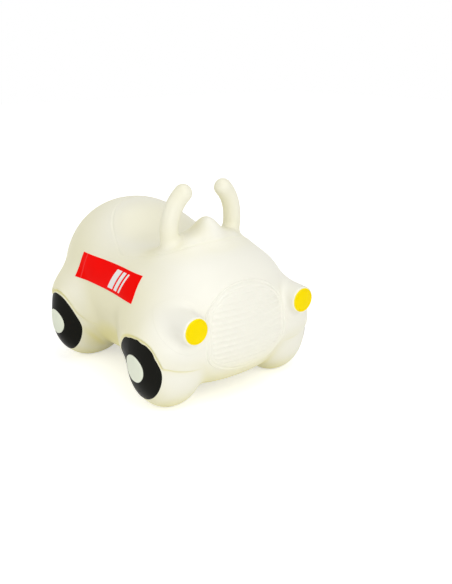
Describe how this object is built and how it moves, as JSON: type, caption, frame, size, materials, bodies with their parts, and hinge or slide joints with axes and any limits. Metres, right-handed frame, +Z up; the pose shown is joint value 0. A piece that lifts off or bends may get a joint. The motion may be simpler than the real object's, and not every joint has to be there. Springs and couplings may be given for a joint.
{
  "type": "inflatable ride-on hopper car",
  "caption": "Inflatable ride-on hopper shaped like a small round car, ivory vinyl skin with flexing horn grips, painted wheels and lamps, flank stickers and an air stopper at the tail.",
  "frame": {"origin": "on the ground under the middle of the car's length and width", "axes": "+X forwards towards the lamps, +Y to the car's left, +Z up"},
  "size_m": [0.5296, 0.392, 0.3782],
  "materials": {
    "skin_vinyl": "satin",
    "tyre_paint": "satin",
    "hub_paint": "satin",
    "lamp_paint": "gloss",
    "sticker_film": "gloss",
    "stopper_plastic": "satin"
  },
  "bodies": {
    "body": {"body_skin": "skin_vinyl", "lamp_left": "lamp_paint", "lamp_right": "lamp_paint", "side_sticker_left": "sticker_film", "side_sticker_right": "sticker_film", "tyre_front_left": "tyre_paint", "hub_front_left": "hub_paint", "tyre_rear_left": "tyre_paint", "hub_rear_left": "hub_paint", "tyre_front_right": "tyre_paint", "hub_front_right": "hub_paint", "tyre_rear_right": "tyre_paint", "hub_rear_right": "hub_paint"},
    "grip_left": {"grip_left": "skin_vinyl"},
    "grip_right": {"grip_right": "skin_vinyl"},
    "valve_stopper": {"valve_stopper": "stopper_plastic"}
  },
  "joints": [
    {"name": "grip_left_flex", "type": "hinge", "parent": "body", "child": "grip_left", "pos_m": [0.11352, 0.068, 0.26351], "axis": [0, 1, 0], "range_deg": [-12, 12], "stiffness_Nm_per_rad": 4},
    {"name": "grip_right_flex", "type": "hinge", "parent": "body", "child": "grip_right", "pos_m": [0.11352, -0.068, 0.26351], "axis": [0, 1, 0], "range_deg": [-12, 12], "stiffness_Nm_per_rad": 4},
    {"name": "valve_stopper_pull", "type": "slide", "parent": "body", "child": "valve_stopper", "axis": [-1, 0, 0], "range_m": [0, 0.022]}
  ]
}
